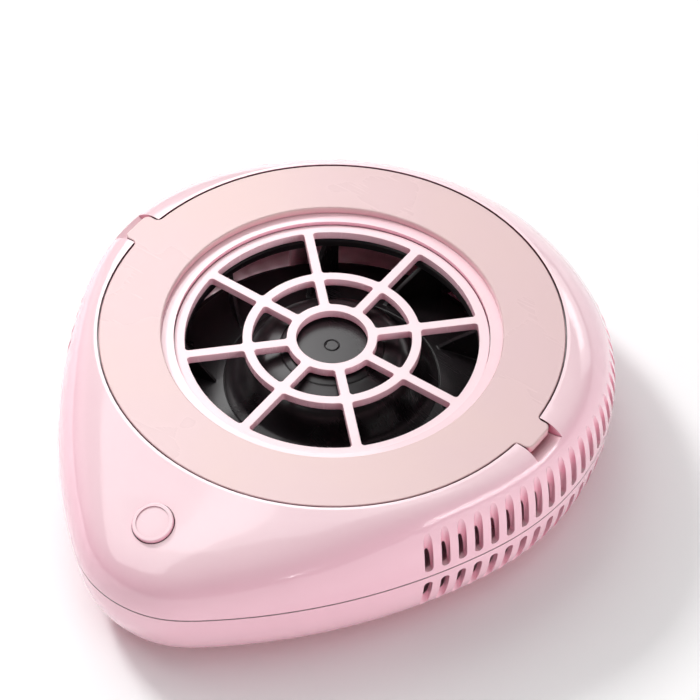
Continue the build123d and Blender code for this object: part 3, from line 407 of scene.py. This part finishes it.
def foamPores(tree, place, color, height):
    # open cells: the distance to the nearest cell middle is the depth of the pore
    cells = addNode(tree, "TexVoronoi")
    plug(tree, cells.inputs["Vector"], place)
    cells.inputs["Scale"].default_value = pores["scale"]
    depth = cells.outputs["Distance"]
    return blendColor(tree, remap(tree, depth, 0.0, pores["rim"]), pores["shadow"], color), depth


hubRings = {"pitch": 0.0006, "lift": 0.8}


def turnedHub(tree, place, color, height):
    # fine rings round the fan axis, as the mould's turned insert leaves them
    rings = useGroup(tree, turningRings, place=place, pitch=hubRings["pitch"])["height"]
    return color, calc(tree, "MULTIPLY_ADD", rings, hubRings["lift"], height)


finishes = {
    "shell_pink": finish("shellPink", shellLook, pattern=shellSeamShade),
    "lid_satin": finish("lidSatin", lidLook),
    "grille_pink": finish("grillePink", grilleLook),
    "button_pink": finish("buttonPink", buttonLook),
    "fan_black": finish("fanBlack", fanLook, pattern=turnedHub),
    "black_plastic": finish("blackPlastic", blackLook),
    "white_plastic": finish("whitePlastic", whiteLook),
    "board_green": finish("boardGreen", boardLook, pattern=boardTracks),
    "zinc_steel": finish("zincSteel", zincLook),
    "bright_steel": finish("brightSteel", steelLook),
    "core_steel": finish("coreSteel", coreLook, pattern=laminations),
    "magnet_grey": finish("magnetGrey", magnetLook),
    "winding_copper": finish("windingCopper", copperLook, pattern=wireTurns),
    "cast_alloy": finish("castAlloy", alloyLook),
    "rubber_black": finish("rubberBlack", rubberLook),
    "foam_black": finish("foamBlack", foamLook, pattern=foamPores),
    "pin_brass": finish("pinBrass", brassLook),
    "lead_black": finish("leadBlack", leadLook),
}
for part in frame["record"]["subparts"]:
    for holder in frame["nodes"][part["node"]].material_slots:
        holder.material = finishes[part["material_slot"]]
print("finishes on", len(frame["nodes"]), "nodes")

# softened edges on the CAD nodes
edges = {"impeller": 0.00025, "intake_ring": 0.0003}  # node: width of the rounded edge in metres
rounded = {"merge": 0.000002, "segments": 2, "sharperThan": 38}  # metres, pieces of arc, degrees
for name, width in edges.items():
    node = frame["nodes"][name]
    weld = node.modifiers.new("weld", "WELD")
    weld.merge_threshold = rounded["merge"]
    rounding = node.modifiers.new("rounding", "BEVEL")
    rounding.width, rounding.segments, rounding.limit_method = width, rounded["segments"], "ANGLE"
    rounding.angle_limit = math.radians(rounded["sharperThan"])
    rounding.use_clamp_overlap = False
    shading = node.modifiers.new("shading", "WEIGHTED_NORMAL")
    shading.keep_sharp = False
print("edges softened on", len(edges), "nodes")

# floor, lights and camera
studio = {
    "floorSize": 8.0, "floorColor": rgb(251, 251, 251), "floorRough": 0.9, "floorShine": 0.1,
    "floorDrift": 0.01, "floorDriftScale": 1.5, "worldColor": rgb(244, 244, 246), "worldStrength": 0.05,
}


def makeFloor():
    half = studio["floorSize"] / 2
    mesh = bpy.data.meshes.new("studioFloor")
    corners = [(-half, -half, 0), (half, -half, 0), (half, half, 0), (-half, half, 0)]
    mesh.from_pydata(corners, [], [(0, 1, 2, 3)])
    floor = bpy.data.objects.new("studioFloor", mesh)
    bpy.context.scene.collection.objects.link(floor)
    material = bpy.data.materials.new("studioFloor")
    material.use_nodes = True
    tree = material.node_tree
    surface = tree.nodes["Principled BSDF"]
    tone = useGroup(
        tree, toneDrift, place=objectPlace(tree), color=studio["floorColor"], tint=studio["floorColor"],
        amount=studio["floorDrift"], scale=studio["floorDriftScale"],
    )
    plug(tree, surface.inputs["Base Color"], tone["color"])
    surface.inputs["Roughness"].default_value = studio["floorRough"]
    surface.inputs["Specular IOR Level"].default_value = studio["floorShine"]
    mesh.materials.append(material)


def direction(azimuth, elevation):
    # unit vector from the object: azimuth 0 is towards -Y and 90 towards +X
    a, e = math.radians(azimuth), math.radians(elevation)
    return Vector((math.sin(a) * math.cos(e), -math.cos(a) * math.cos(e), math.sin(e)))


aim = Vector(fanCentre)
# sizes and distances in metres, power in watts, angles in degrees round the lid's middle
# mirrored False: gives light but shows in no gloss; scattered False: shows in the gloss alone
fillPanel = {"distance": 1.6, "width": 1.2, "height": 0.6}
sideStrip = {"azimuth": 98, "distance": 1.6, "width": 1.5, "height": 0.03}
lights = {
    "keyPanel": {
        "azimuth": -97, "elevation": 44, "distance": 1.5,
        "width": 0.28, "height": 0.28, "power": 12.5, "mirrored": False,
    },
    "topPanel": {
        "azimuth": 0, "elevation": 89, "distance": 1.6,
        "width": 1.1, "height": 1.1, "power": 4.7,
    },
    "softLeft": {
        "azimuth": -100, "elevation": 58, "distance": 1.6,
        "width": 1.8, "height": 1.1, "power": 9.4, "mirrored": False,
    },
    "softBack": {
        "azimuth": -138, "elevation": 60, "distance": 1.6,
        "width": 1.0, "height": 0.8, "power": 2.0, "mirrored": False,
    },
    "whiteCard": {
        "azimuth": -87, "elevation": 62, "distance": 1.6,
        "width": 3.3, "height": 1.3, "power": 22.0, "scattered": False,
    },
    "lidCard": {
        "azimuth": -124, "elevation": 48, "distance": 1.6,
        "width": 0.84, "height": 0.8, "power": 6.4, "scattered": False,
    },
    "rightFill": {**fillPanel, "azimuth": 90, "elevation": 12, "power": 7.6, "mirrored": False},
    "cameraFill": {**fillPanel, "azimuth": 45, "elevation": 12, "power": 3.8, "mirrored": False},
    "frontFill": {**fillPanel, "azimuth": 0, "elevation": 12, "power": 1.5, "mirrored": False},
    "frontLeftFill": {**fillPanel, "azimuth": -45, "elevation": 12, "power": 2.8, "mirrored": False},
    "leftFill": {**fillPanel, "azimuth": -90, "elevation": 12, "power": 0.9},
    "backFill": {**fillPanel, "azimuth": 180, "elevation": 12, "power": 2.7},
    "sideStripLow": {**sideStrip, "elevation": 5, "power": 1.7},
    "sideStripMid": {**sideStrip, "elevation": 9, "power": 2.2},
    "sideStripHigh": {**sideStrip, "elevation": 13, "power": 1.7},
    "backWindow": {
        "azimuth": 175, "elevation": 16, "distance": 1.7,
        "width": 0.5, "height": 0.3, "power": 1.0,
    },
    "frontGlint": {
        "azimuth": 49, "elevation": 7, "distance": 1.5,
        "width": 0.1, "height": 0.02, "power": 0.1,
    },
}
for name, light in lights.items():
    lamp = bpy.data.lights.new(name, "AREA")
    lamp.shape, lamp.energy = "RECTANGLE", light["power"]
    lamp.size, lamp.size_y = light["width"], light["height"]
    holder = bpy.data.objects.new(name, lamp)
    holder.visible_glossy = light.get("mirrored", True)
    holder.visible_diffuse = light.get("scattered", True)
    towards = direction(light["azimuth"], light["elevation"])
    side = Vector((0, 0, 1)).cross(towards).normalized()
    turn = Matrix((side, towards.cross(side), towards)).transposed().to_4x4()
    turn.translation = aim + towards * light["distance"]
    holder.matrix_world = turn
    bpy.context.scene.collection.objects.link(holder)

world = bpy.data.worlds.new("paleStudio")
bpy.context.scene.world = world
world.use_nodes = True
background = world.node_tree.nodes["Background"]
background.inputs["Color"].default_value = studio["worldColor"]
background.inputs["Strength"].default_value = studio["worldStrength"]
bpy.context.scene.view_settings.view_transform = "Standard"
makeFloor()

# angles in degrees, distances in metres, sensor and lens in millimetres, shift in shares of the sensor
cameraPlace = {
    "azimuth": 35.1, "elevation": 46.76, "roll": 0.53, "distance": 1.305,
    "sensor": 36.0, "lens": 174.1, "shift": (0.0255, -0.0317), "farthest": 50.0,
}


def makeCamera():
    # looks back along the viewing direction at the lid's middle, turned a little about that direction
    backward = direction(cameraPlace["azimuth"], cameraPlace["elevation"])
    level = Vector((0, 0, 1)).cross(backward).normalized()
    upright = backward.cross(level)
    roll = math.radians(cameraPlace["roll"])
    right = level * math.cos(roll) + upright * math.sin(roll)
    turn = Matrix((right, backward.cross(right), backward)).transposed().to_4x4()
    turn.translation = aim + backward * cameraPlace["distance"]
    camera = bpy.data.cameras.new("frontCamera")
    camera.sensor_width, camera.lens = cameraPlace["sensor"], cameraPlace["lens"]
    camera.shift_x, camera.shift_y = cameraPlace["shift"]
    camera.clip_end = cameraPlace["farthest"]
    holder = bpy.data.objects.new("frontCamera", camera)
    holder.matrix_world = turn
    bpy.context.scene.collection.objects.link(holder)
    bpy.context.scene.camera = holder


makeCamera()
print("floor, lights and camera placed")
